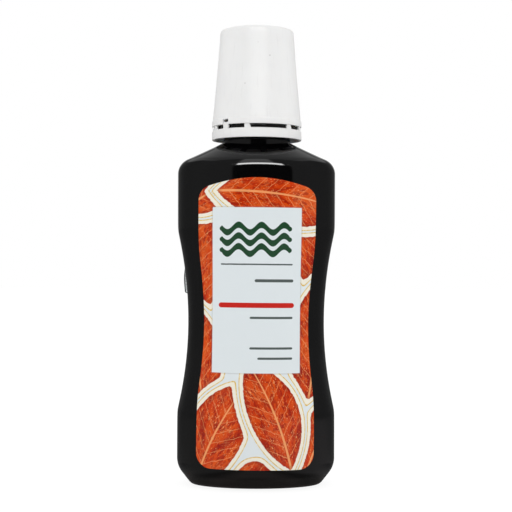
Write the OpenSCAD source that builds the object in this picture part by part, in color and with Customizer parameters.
// Mouthwash bottle of about 250 ml: a waisted oval bottle with two labels, filled with
// liquid, and a tall dosing cap that unscrews from a tamper band left on the neck.
// The origin is the middle of the base, +Z is up and the front label faces -Y.

/* [Body] */
// Height of the body from the base to the foot of the neck
body_h = 138.7; // [132:0.1:144]
// Width of the body above and below the waist
body_w = 64.4; // [60:0.1:68]
// Depth of the body from the front face to the back face
body_d = 43.4; // [40:0.1:48]
// Wall thickness of the blown body
body_wall = 0.8; // [0.5:0.05:1.1]
// How square the oval cross-section is, where 2 is an ellipse
oval_power = 2.15; // [2:0.05:2.6]

/* [Waist] */
// How far the waist is drawn in at each side
waist_side_in = 4.4; // [2:0.1:6]
// How far the waist is drawn in at the front and the back
waist_front_in = 0.7; // [0.3:0.1:2]
// Height of the narrowest place above the base
waist_z = 66; // [62:0.5:70]
// Radius of the side outline above the waist
waist_upper_r = 157; // [140:1:190]
// Radius of the side outline below the waist
waist_lower_r = 149; // [120:1:170]
// Softness of the fold where the waist meets the upright sides
waist_soft = 0.3; // [0.1:0.05:1]

/* [Shoulder] */
// Height of the shoulder from its fold to the foot of the neck
shoulder_h = 8.3; // [6:0.1:11]
// How far the top of the shoulder stands out from the neck
shoulder_step = 0.15; // [0:0.05:0.6]
// Radius of the fold at the two sides
fold_side_r = 6.4; // [4:0.1:8]
// Radius of the fold at the front and the back
fold_front_r = 5.5; // [3:0.1:7]

/* [Base] */
// How far the base is drawn in at each side
base_side_in = 5.75; // [4:0.05:9]
// How far the base is drawn in at the front and the back
base_front_in = 7.7; // [5:0.1:9.5]
// Height of the slanted face above the base at the sides
slant_side_h = 7.7; // [6:0.1:9]
// Height of the slanted face above the base at the front and the back
slant_front_h = 6; // [4:0.1:7]
// Radius between the slanted face and the upright side
slant_side_r = 9.4; // [4:0.1:12]
// Radius between the slanted face and the upright front
slant_front_r = 5; // [3:0.5:8]
// Radius of the edge on which the bottle stands
foot_r = 0.8; // [0.5:0.1:1.6]
// Width of the flat ring on which the bottle stands
foot_w = 3; // [2:0.1:4]
// Height of the hollow pushed up under the base
push_up_h = 2.4; // [1:0.1:3]

/* [Neck] */
// Diameter of the neck under the bead
neck_d = 27.2; // [26:0.1:29]
// How far the neck is drawn in above the bead
finish_step = 0.9; // [0.4:0.1:1.2]
// Wall thickness of the neck behind its thread
neck_wall = 1.9; // [1.4:0.1:2.4]
// Height of the neck from the shoulder to the lip
neck_h = 22.9; // [21:0.1:25]
// Bevel at the rim of the lip
lip_bevel = 0.4; // [0.2:0.05:0.8]
// How far the bead that holds the tamper band down stands out from the neck
bead_reach = 3.2; // [2.6:0.1:3.4]
// Height of that bead
bead_h = 2.5; // [2:0.1:2.8]
// Height of the underside of the bead above the shoulder
bead_rise = 5.3; // [5:0.1:5.4]

/* [Thread] */
// Rise of the thread in one turn
thread_lead = 4.23; // [4:0.01:4.4]
// Height of the thread's crest above the neck
thread_h = 1; // [0.7:0.05:1.1]
// Number of turns of the thread in the cap
cap_turns = 1.45; // [1.2:0.05:1.6]
// Width of the thread at its crest
crest_w = 1.1; // [0.8:0.1:1.2]
// Width of the thread at its root
root_w = 2.2; // [1.8:0.1:2.4]
// Height of the bare neck between the bead and the middle of the thread's lower end
thread_foot = 4.5; // [3.6:0.1:5]
// Height of the bare neck between the middle of the thread's upper end and the lip
thread_drop = 4.63; // [3:0.01:6]
// Gap between the neck and the threaded insert all round
thread_gap = 0.25; // [0.2:0.05:0.3]

/* [Cap] */
// Height of the cap without the tamper band
cap_h = 39.5; // [36:0.1:44]
// Height of the rim at the foot of the cap
rim_h = 2.5; // [2.3:0.1:3.4]
// How far the rim stands out from the wall above it
rim_step = 0.3; // [0.1:0.05:0.4]
// Gap between the insert and the cap's wall at the bend half way up
cap_clear = 0.35; // [0.3:0.05:0.8]
// Height of that bend above the ledge inside the cap
bend_rise = 0.25; // [0.1:0.05:2]
// How far the wall leans in from the bend to the top edge
cap_lean = 1.4; // [0.4:0.1:2]
// Radius of the rounded top edge
cap_edge_r = 1.4; // [1.2:0.1:3]
// Wall thickness of the cap
cap_wall = 1; // [0.8:0.05:1.1]
// Number of ribs inside the cap that centre the insert
rib_count = 8; // [6:1:12]
// Thickness of each rib
rib_w = 1; // [0.8:0.1:1.5]

/* [Insert and seal] */
// Wall thickness of the threaded insert
insert_wall = 1.1; // [0.9:0.05:1.2]
// Gap between the insert's lower end and the bead
insert_clear = 1.3; // [0.6:0.1:1.4]
// Thickness of the flange at the top of the insert
flange_h = 1.2; // [0.8:0.1:1.6]
// How far the flange's opening stands back from the pouring bore
flange_back = 0.2; // [0:0.05:0.6]
// Height of the ledge that the flange is pushed against
ledge_h = 1.2; // [0.8:0.1:2]
// How far that ledge stands in over the flange
ledge_w = 1; // [0.6:0.1:1.4]
// Thickness of the sealing ring
seal_h = 0.9; // [0.6:0.1:1.4]
// Clearance between pieces that are pushed together
fit_gap = 0.05; // [0.02:0.01:0.08]

/* [Tamper band] */
// Height of the band
band_h = 3.8; // [3.4:0.1:4]
// Wall thickness of the band
band_wall = 1.1; // [0.9:0.05:1.3]
// Gap between the bead and the band's wall
band_clear = 0.4; // [0.35:0.05:0.8]
// Height of the slot between the band and the cap
slot_h = 1.6; // [1.2:0.1:1.8]
// Height of the band's underside above the shoulder
band_rise = 1.4; // [1.3:0.1:1.7]
// Bevel at the band's upper outer edge
band_bevel = 0.45; // [0.2:0.05:0.6]
// Width of the tall tab that stands in a notch of the cap
tab_w = 2.8; // [2:0.1:3.2]
// Height of that tab above the band
tab_h = 2.5; // [2:0.1:2.8]
// Height of the window left above the tab
window_h = 1.1; // [0.6:0.1:1.3]
// Gap on each side of the tab in its notch
tab_gap = 0.15; // [0.1:0.05:0.3]
// Width of a bridge at the band
bridge_foot_w = 2.7; // [2.2:0.1:3]
// Width of a bridge where it meets the cap
bridge_tip_w = 2; // [1.5:0.1:2.2]
// Number of inward flaps that catch under the bead
flap_count = 10; // [6:1:12]
// Gap between the flaps and the bead
flap_gap = 0.3; // [0.2:0.05:0.4]
// Thickness of each flap at its tip
flap_t = 0.7; // [0.5:0.05:0.9]

/* [Labels] */
// Height of the bare body between the fold and the middle of the front label's upper edge
label_drop = 6.6; // [5.5:0.1:14]
// Height of the bare body between the slanted front and the labels' lower edge
label_foot = 2.8; // [2.7:0.1:8]
// Width of the bare body at each side of the front label, seen from the front
label_side = 8.8; // [7:0.1:12]
// How far the front label is drawn in at each side of the waist
label_waist_in = 2.6; // [0.5:0.1:4]
// Radius of the front label's side edges at the waist
label_waist_r = 150; // [120:1:180]
// Softness of the bend where those edges run straight again
label_soft = 1.2; // [0.6:0.1:2]
// How far the label's upper edge rises to its middle
label_arch = 3; // [1:0.1:4]
// Radius of a label's corners
label_corner_r = 6; // [4:0.1:8]
// Thickness of a label
label_t = 0.1; // [0.06:0.01:0.15]
// Gap between a label and the body all over
label_gap = 0.1; // [0.08:0.01:0.15]
// Height of the bare body between the fold and the back label's upper edge
back_label_drop = 13.6; // [12:0.2:24]
// Angle from the side at which the back label ends
back_label_angle = 12; // [10:1:30]
// How far the back label's left edge has lifted off the waist
lift = 1.6; // [0.6:0.1:2]
// Height of the middle of the lifted stretch
lift_z = 83; // [76:0.2:92]
// Length of the lifted stretch
lift_len = 20; // [12:0.5:30]

/* [Filling] */
// Height of the air between the liquid and the foot of the neck
air_h = 7.3; // [5:0.1:70]
// Gap between the liquid and the wall round it
liquid_gap = 0.1; // [0.06:0.01:0.3]

/* [Hidden] */

// Facets of the round parts, of the oval body, of its inside and of one turn of thread
$fn = 72;
oval_facets = 60;
inner_facets = 40;
turn_facets = 32;
label_columns = 16;
label_rows = 18;
corner_angles = [0:22.5:90];
// Steps over which a thread fades out, down to this share of its height
fade_steps = 5;
fade_share = 0.3;
// Share of the back label's half width that lifts off with its left edge
lift_share = 0.3;
// Share of the band's inside that its flaps take up, the rest being gaps between them
flap_share = 0.7;

// How far a cut runs past the face it opens, and a joined piece sinks into its carrier
over = 0.4;

// Sizes of the body, from the base up
base_w = body_w - 2 * base_side_in;
base_d = body_d - 2 * base_front_in;
waist_w = body_w - 2 * waist_side_in;
waist_d = body_d - 2 * waist_front_in;
shoulder_d = neck_d + 2 * shoulder_step;
fold_z = body_h - shoulder_h;
fill_z = body_h - air_h;

// Sizes of the labels
label_z = slant_front_h + label_foot;
label_h = fold_z - label_drop - label_z;
back_label_h = fold_z - back_label_drop - label_z;
label_w = body_w - 2 * label_side;
label_waist_w = label_w - 2 * label_waist_in;
label_sweep = asin(label_w / body_w);

// Heights along the axis, from the shoulder up
neck_z = body_h;
band_z = neck_z + band_rise;
band_top_z = band_z + band_h;
skirt_z = band_top_z + slot_h;
bead_z = neck_z + bead_rise;
thread_z = bead_z + bead_h + thread_foot;
insert_z = bead_z + bead_h + insert_clear;
lip_z = neck_z + neck_h;
neck_turns = (lip_z - thread_drop - thread_z) / thread_lead;
seal_z = lip_z + fit_gap;
flange_z = seal_z + seal_h;
ledge_z = flange_z + flange_h;
rim_z = skirt_z + rim_h;
cap_mid_z = ledge_z + ledge_h + bend_rise;
cap_z = skirt_z + cap_h;

// Radii about the axis, from the bore out
neck_r = neck_d / 2;
finish_r = neck_r - finish_step;
bore_r = finish_r - neck_wall;
thread_r = finish_r + thread_h;
insert_bore_r = thread_r + thread_gap;
insert_r = insert_bore_r + insert_wall;
flange_bore_r = bore_r + flange_back;
bead_r = neck_r + bead_reach;
band_bore_r = bead_r + band_clear;
rim_r = band_bore_r + band_wall;
cap_mid_r = insert_r + cap_clear + cap_wall;
cap_top_r = cap_mid_r - cap_lean;
tab_bore_r = band_bore_r + band_bevel / 2;
tab_r = rim_r - band_bevel / 2;

// Angles from +X of the tab and of the bridges, with -90 at the front
tab_angle = -133.5;
bridge_angles = [-166.5, -156.5, -101.5, -43.7, -14, 58, 104, 150];

// Heights of the body's cross-sections, as shares of each stretch
slant_shares = [0.12, 0.25, 0.4, 0.55, 0.68, 0.8, 0.9, 1];
fold_shares = [0, 0.12, 0.22, 0.3, 0.37, 0.44, 0.5, 0.56, 0.63, 0.72, 0.86, 1];
waist_steps = 18;
inner_waist_steps = 12;
inner_slant_shares = [0, 0.3, 0.5, 0.7, 1];
inner_fold_shares = [0, 0.2, 0.34, 0.44, 0.52, 0.62, 0.8, 1];
push_up_shares = [0.3, 0.6, 0.85];
slant_top_z = 2 * slant_side_h;
fold_low_z = fold_z - fold_side_r;

// The smaller of two values, eased over a soft width where they cross
function soft_min(a, b, soft) = (a + b - sqrt(pow(a - b, 2) + soft * soft)) / 2;

// Half size at height h above an end whose half size is low, where a slanted face
// climbs to the full half size at the height reach, with a fillet of radius r
function bevel(h, low, full, reach, r) =
    let (lean = atan(reach / (full - low)))
    let (fillet_top = reach + r * tan((90 - lean) / 2))
    let (fillet_foot = fillet_top - r * cos(lean))
    h >= fillet_top ? full
    : h <= fillet_foot ? low + (full - low) * h / reach
    : full - r + sqrt(r * r - pow(fillet_top - h, 2));

// Half size of the upright part at height z, drawn in round the waist
function waisted(z, full, narrow) =
    let (arc_r = z < waist_z ? waist_lower_r : waist_upper_r)
    let (depth_share = (full - narrow) / (body_w / 2 - waist_w / 2))
    let (arc = narrow + depth_share * pow(z - waist_z, 2) / (2 * arc_r))
    soft_min(arc, full, waist_soft * depth_share);

// Half size of the body at height z: base slant, waist and shoulder together
function half_size(z, low, slant_h, slant_r, full, narrow, fold_r) =
    bevel(z, low, full, slant_h, slant_r) - full
    + waisted(z, full, narrow)
    + bevel(body_h - z, shoulder_d / 2, full, body_h - fold_z, fold_r) - full;

function half_w(z) =
    half_size(z, base_w / 2, slant_side_h, slant_side_r, body_w / 2, waist_w / 2, fold_side_r);

function half_d(z) =
    half_size(z, base_d / 2, slant_front_h, slant_front_r, body_d / 2, waist_d / 2, fold_front_r);

// The exponent of the oval at height z, which falls to a circle's 2 at the neck
function power_at(z) =
    let (fullness = (half_w(z) - shoulder_d / 2) / (waist_w / 2 - shoulder_d / 2))
    2 + (oval_power - 2) * min(1, max(0, fullness));

// One oval cross-section: |x/a|^p + |y/b|^p = 1 at height z
function signed_pow(v, p) = sign(v) * pow(abs(v), p);
function oval_point(a, b, p, angle, z) =
    [a * signed_pow(cos(angle), 2 / p), b * signed_pow(sin(angle), 2 / p), z];
function oval(a, b, p, z, count) =
    [for (i = [0:count - 1]) oval_point(a, b, p, 360 * i / count, z)];

// Outer cross-sections from the middle of the base round the foot and up to the neck
function body_oval(z, inset) =
    oval(half_w(z) - inset, half_d(z) - inset, power_at(z), z, oval_facets);
function base_oval(share, z) =
    let (inset = foot_r + foot_w)
    oval(share * (base_w / 2 - inset), share * (base_d / 2 - inset), 2, z, oval_facets);
function foot_oval(angle) =
    let (z = foot_r * (1 - cos(angle)))
    oval(half_w(z) - foot_r * (1 - sin(angle)), half_d(z) - foot_r * (1 - sin(angle)), 2, z,
        oval_facets);
body_heights = concat(
    [for (s = slant_shares) foot_r + s * (slant_top_z - foot_r)],
    [for (i = [1:waist_steps]) slant_top_z + (fold_low_z - slant_top_z) * i / (waist_steps + 1)],
    [for (s = fold_shares) fold_low_z + s * (neck_z - fold_low_z)]);
body_rings = concat(
    [for (s = push_up_shares) base_oval(s, push_up_h * (1 - pow(s, 3)))],
    [base_oval(1, 0)],
    [for (angle = [0:30:90]) foot_oval(angle)],
    [for (z = body_heights) body_oval(z, 0)]);

// Inner cross-sections: the outer form, one wall lower at the top and higher at the base
function outer_z(z) = body_h / 2 + (z - body_h / 2) * body_h / (body_h - 2 * body_wall);
function cavity_oval(z, gap) =
    let (from_z = outer_z(z))
    oval(half_w(from_z) - body_wall - gap, half_d(from_z) - body_wall - gap, power_at(from_z), z,
        inner_facets);
function floor_oval(share, gap) =
    let (inset = foot_r + foot_w)
    let (z = body_wall + gap + push_up_h * (1 - pow(share, 3)))
    oval(share * (base_w / 2 - inset), share * (base_d / 2 - inset), 2, z, inner_facets);
cavity_foot_z = body_wall + foot_r / 2;
cavity_low_heights = concat(
    [for (s = inner_slant_shares) cavity_foot_z + s * (slant_top_z - cavity_foot_z)],
    [for (i = [1:inner_waist_steps])
        slant_top_z + (fold_low_z - slant_top_z) * i / (inner_waist_steps + 1)]);
cavity_top_heights = [for (s = inner_fold_shares)
    fold_low_z + s * (neck_z - body_wall - fold_low_z)];
function cavity_floor(gap) = [for (s = push_up_shares) floor_oval(s, gap)];
cavity_rings = concat(
    cavity_floor(0),
    [for (z = cavity_low_heights) cavity_oval(z, 0)],
    [for (z = cavity_top_heights) cavity_oval(z, 0)],
    [oval(bore_r - over, bore_r - over, 2, neck_z + bead_rise, inner_facets)]);
liquid_rings = concat(
    cavity_floor(liquid_gap),
    [for (z = concat(cavity_low_heights, cavity_top_heights)) if (z < fill_z)
        cavity_oval(max(z, cavity_foot_z + liquid_gap), liquid_gap)],
    [cavity_oval(fill_z, liquid_gap)]);

// A closed solid through cross-sections of equal count, fanned shut at both ends
function middle(ring) = [0, 0, ring[0][2]];
module loft(rings) {
    count = len(rings[0]);
    last = len(rings) - 1;
    points = concat([for (ring = rings) each ring], [middle(rings[0]), middle(rings[last])]);
    foot = count * len(rings);
    sides = [for (k = [0:last - 1]) for (i = [0:count - 1])
        let (j = (i + 1) % count)
        let (a = k * count)
        let (b = a + count)
        each [[a + i, b + i, b + j], [a + i, b + j, a + j]]];
    floor_fan = [for (i = [0:count - 1]) [foot, i, (i + 1) % count]];
    top_fan = [for (i = [0:count - 1])
        [foot + 1, last * count + (i + 1) % count, last * count + i]];
    polyhedron(points = points, faces = concat(sides, floor_fan, top_fan));
}

// A thread ridge that climbs one lead in a turn and fades out at both ends.
// Its foot lies at the radius foot, sunk in the wall, and its crest at the radius crest.
function ridge(z, turns, foot, crest) =
    let (steps = round(turns * turn_facets))
    [for (i = [0:steps])
        let (angle = 360 * turns * i / steps)
        let (end_share = min(i, steps - i) / fade_steps)
        let (height_share = min(1, max(fade_share, end_share)))
        let (r = foot + (crest - foot) * height_share)
        let (mid = z + thread_lead * angle / 360)
        [for (corner = [[foot, -root_w], [r, -crest_w], [r, crest_w], [foot, root_w]])
            [corner[0] * cos(angle), corner[0] * sin(angle), mid + corner[1] / 2]]];
module thread_ridge(z, turns, foot, crest) {
    rows = ridge(z, turns, foot, crest);
    last = len(rows) - 1;
    outward = crest > foot;
    sides = [for (k = [0:last - 1]) for (i = [0:3])
        let (j = (i + 1) % 4)
        each [[4 * k + i, 4 * k + j, 4 * k + 4 + j], [4 * k + i, 4 * k + 4 + j, 4 * k + 4 + i]]];
    ends = [[3, 2, 1, 0], [4 * last, 4 * last + 1, 4 * last + 2, 4 * last + 3]];
    faces = concat(sides, ends);
    turned = [for (face = faces) [for (i = [len(face) - 1:-1:0]) face[i]]];
    polyhedron(points = [for (row = rows) each row], faces = outward ? faces : turned);
}

// A thin closed skin between two grids of points with the same rows and columns
module skin(near, far) {
    rows = len(near);
    columns = len(near[0]);
    second = rows * columns;
    function at(k, i) = k * columns + i;
    flat = [for (k = [0:rows - 2]) for (i = [0:columns - 2])
        each [[at(k, i), at(k, i + 1), at(k + 1, i + 1)], [at(k, i), at(k + 1, i + 1), at(k + 1, i)]]];
    back = [for (f = flat) [second + f[2], second + f[1], second + f[0]]];
    edge = concat(
        [for (i = [0:columns - 1]) at(0, i)],
        [for (k = [1:rows - 1]) at(k, columns - 1)],
        [for (i = [columns - 2:-1:0]) at(rows - 1, i)],
        [for (k = [rows - 2:-1:1]) at(k, 0)]);
    rim = [for (n = [0:len(edge) - 1])
        let (a = edge[n])
        let (b = edge[(n + 1) % len(edge)])
        each [[b, a, second + a], [b, second + a, second + b]]];
    polyhedron(points = concat([for (row = near) each row], [for (row = far) each row]),
        faces = concat(flat, back, rim));
}

// Heights up a label of height h, closer together in its rounded corners
function label_heights(h) = concat(
    [for (a = corner_angles) label_corner_r * (1 - cos(a))],
    [for (k = [1:label_rows - 1]) label_corner_r + (h - 2 * label_corner_r) * k / label_rows],
    [for (a = corner_angles) h - label_corner_r * (1 - sin(a))]);

// How far a label's side edge is drawn in at height s of a label of height h
function corner_inset(s, h) =
    let (near_end = min(s, h - s))
    near_end >= label_corner_r ? 0
    : label_corner_r - sqrt(pow(label_corner_r, 2) - pow(label_corner_r - near_end, 2));

// Half the front label's width at height z
function label_half_w(z) =
    soft_min(label_waist_w / 2 + pow(z - waist_z, 2) / (2 * label_waist_r), label_w / 2, label_soft);

// The front label's points at a distance out from the body
function front_grid(out) =
    let (side_h = label_h - label_arch)
    [for (s = label_heights(side_h))
        let (row_w = label_half_w(label_z + s) - corner_inset(s, side_h))
        [for (i = [0:label_columns])
            let (u = sin(label_sweep * (2 * i / label_columns - 1)) / sin(label_sweep))
            let (z = label_z + s * (side_h + label_arch * (1 - u * u)) / side_h)
            let (x = u * row_w)
            let (p = power_at(z))
            [x, -(half_d(z) + out) * pow(1 - pow(abs(x) / (half_w(z) + out), p), 1 / p), z]]];

// The back label's points, with its left edge lifted off the waist
function lift_at(z, share) =
    let (along = abs(z - lift_z) / (lift_len / 2))
    along >= 1 ? 0 : lift * pow(cos(90 * along), 2) * pow(share, 2);
function back_grid(out) =
    [for (s = label_heights(back_label_h))
        let (z = label_z + s)
        let (inset_angle = corner_inset(s, back_label_h) / (body_d / 2) * 180 / PI)
        let (edge = back_label_angle + inset_angle)
        [for (i = [0:2 * label_columns])
            let (angle = edge + (180 - 2 * edge) * i / (2 * label_columns))
            let (share = max(0, (i / label_columns - 2 + lift_share) / lift_share))
            let (point = oval_point(half_w(z) + out, half_d(z) + out, power_at(z), angle, z))
            [point[0] - lift_at(z, share), point[1], z]]];

// Outer radius of the cap's wall at height z above the rim
function cap_r(z) = z < cap_mid_z
    ? rim_r - rim_step + (cap_mid_r - rim_r + rim_step) * (z - rim_z) / (cap_mid_z - rim_z)
    : cap_mid_r - cap_lean * (z - cap_mid_z) / (cap_z - cap_edge_r - cap_mid_z);

// The flange fills the cap's bore, and the snap ring reaches half way in under it
flange_r = cap_r(ledge_z) - cap_wall - fit_gap;
snap_r = (flange_r + insert_r) / 2;
snap_z = flange_z - fit_gap;

// Blown body with its neck finish, bead, thread and hollow inside
module bottle() color("#1c1c1f")
    difference() {
        union() {
            loft(body_rings);
            rotate_extrude()
                polygon([
                    [0, neck_z - over],
                    [neck_r, neck_z - over],
                    [neck_r, bead_z],
                    [bead_r, bead_z],
                    [bead_r, bead_z + bead_h / 2],
                    [finish_r, bead_z + bead_h],
                    [finish_r, lip_z - lip_bevel],
                    [finish_r - lip_bevel, lip_z],
                    [0, lip_z]]);
            thread_ridge(thread_z, neck_turns, finish_r - over, thread_r);
        }
        loft(cavity_rings);
        translate([0, 0, neck_z + over])
            cylinder(r = bore_r, h = neck_h);
    }

// Liquid up to the filling height
module mouthwash() color("#d8603c")
    loft(liquid_rings);

// Front label on the waisted front face
module front_label() color("#d9572a")
    skin(front_grid(label_gap), front_grid(label_gap + label_t));

// Back label, wrapped almost to the sides
module back_label() color("#e4e8e6")
    skin(back_grid(label_gap), back_grid(label_gap + label_t));

// A piece of a ring about the axis between two radii and two heights
module ring_piece(inner, outer, low, high, angle, width) {
    sweep = width / outer * 180 / PI;
    rotate([0, 0, angle - sweep / 2])
        rotate_extrude(angle = sweep)
            polygon([[inner, low], [outer, low], [outer, high], [inner, high]]);
}

// One bridge from the band up to the cap, upright on one side and slanted on the other
module bridge(angle)
    intersection() {
        ring_piece(tab_bore_r, tab_r, band_top_z - over, skirt_z - fit_gap, angle,
            2 * bridge_foot_w);
        rotate([90, 0, angle + 90])
            translate([-bridge_foot_w / 2, band_top_z - over, 0])
                linear_extrude(height = 2 * rim_r)
                    polygon([
                        [0, 0],
                        [bridge_foot_w, 0],
                        [bridge_tip_w, slot_h + over],
                        [0, slot_h + over]]);
    }

// Tamper band with its tab, bridges and inward flaps
module tamper_band() color("#dcdcdc") {
    flap_tip_r = (bead_r + neck_r) / 2;
    flap_top_z = bead_z - flap_gap;
    flap_root_z = band_z + flap_t / 2;
    flap_sweep = 360 / flap_count * flap_share;
    union() {
        rotate_extrude()
            polygon([
                [band_bore_r, band_z],
                [rim_r, band_z],
                [rim_r, band_top_z - band_bevel],
                [rim_r - band_bevel, band_top_z],
                [band_bore_r, band_top_z]]);
        ring_piece(tab_bore_r, tab_r, band_top_z - over, band_top_z + tab_h, tab_angle, tab_w);
        for (angle = bridge_angles)
            bridge(angle);
        for (i = [0:flap_count - 1])
            rotate([0, 0, 360 * i / flap_count])
                rotate_extrude(angle = flap_sweep)
                    polygon([
                        [band_bore_r + over, flap_root_z],
                        [band_bore_r + over, flap_root_z + 2 * flap_t],
                        [flap_tip_r, flap_top_z],
                        [flap_tip_r, flap_top_z - flap_t]]);
    }
}

// Outer shell of the dosing cap, open at the bottom, with a ledge and a snap ring inside
module cap_shell() color("#efefef") {
    inner_foot_r = rim_r - rim_step - cap_wall;
    difference() {
        union() {
            rotate_extrude()
                polygon(concat(
                    [[inner_foot_r, skirt_z],
                        [rim_r, skirt_z],
                        [rim_r, rim_z - rim_step],
                        [rim_r - rim_step, rim_z],
                        [cap_mid_r, cap_mid_z]],
                    [for (a = [0:15:90]) [cap_top_r - cap_edge_r * (1 - cos(a)),
                        cap_z - cap_edge_r * (1 - sin(a))]],
                    [[0, cap_z], [0, cap_z - cap_wall]],
                    [for (a = [90:-15:0])
                        [cap_top_r - cap_edge_r + (cap_edge_r - cap_wall) * cos(a),
                        cap_z - cap_edge_r + (cap_edge_r - cap_wall) * sin(a)]],
                    [[cap_mid_r - cap_wall, cap_mid_z],
                        [flange_r - ledge_w, ledge_z + ledge_h],
                        [flange_r - ledge_w, ledge_z],
                        [flange_r + fit_gap, ledge_z],
                        [flange_r + fit_gap, snap_z],
                        [snap_r, snap_z],
                        [snap_r, snap_z - cap_wall / 2],
                        [cap_r(snap_z - cap_wall) - cap_wall, snap_z - cap_wall]]));
            for (i = [0:rib_count - 1])
                rotate([90, 0, 360 * (i + 0.5) / rib_count])
                    translate([0, 0, -rib_w / 2])
                        linear_extrude(height = rib_w)
                            polygon([
                                [insert_r + fit_gap, rim_z],
                                [cap_r(rim_z) - cap_wall / 2, rim_z],
                                [cap_r(snap_z) - cap_wall / 2, snap_z - cap_wall / 4],
                                [insert_r + fit_gap, snap_z - cap_wall / 4]]);
        }
        ring_piece(inner_foot_r - over, rim_r + over, skirt_z - over,
            band_top_z + tab_h + window_h, tab_angle, tab_w + 2 * tab_gap);
    }
}

// Threaded insert pressed into the cap, open through its flange
module thread_insert() color("#f4f4f4")
    union() {
        rotate_extrude()
            polygon([
                [insert_bore_r, insert_z],
                [insert_r, insert_z],
                [insert_r, flange_z],
                [flange_r, flange_z],
                [flange_r, ledge_z],
                [flange_bore_r, ledge_z],
                [flange_bore_r, flange_z],
                [insert_bore_r, flange_z]]);
        thread_ridge(thread_z - thread_lead / 2, cap_turns, insert_bore_r + over,
            finish_r + thread_gap);
    }

// Sealing ring between the lip of the neck and the flange
module sealing_ring() color("#f8f8f8")
    rotate_extrude()
        polygon([
            [flange_bore_r, seal_z],
            [insert_bore_r - fit_gap, seal_z],
            [insert_bore_r - fit_gap, flange_z],
            [flange_bore_r, flange_z]]);

bottle();
mouthwash();
front_label();
back_label();
tamper_band();
cap_shell();
thread_insert();
sealing_ring();
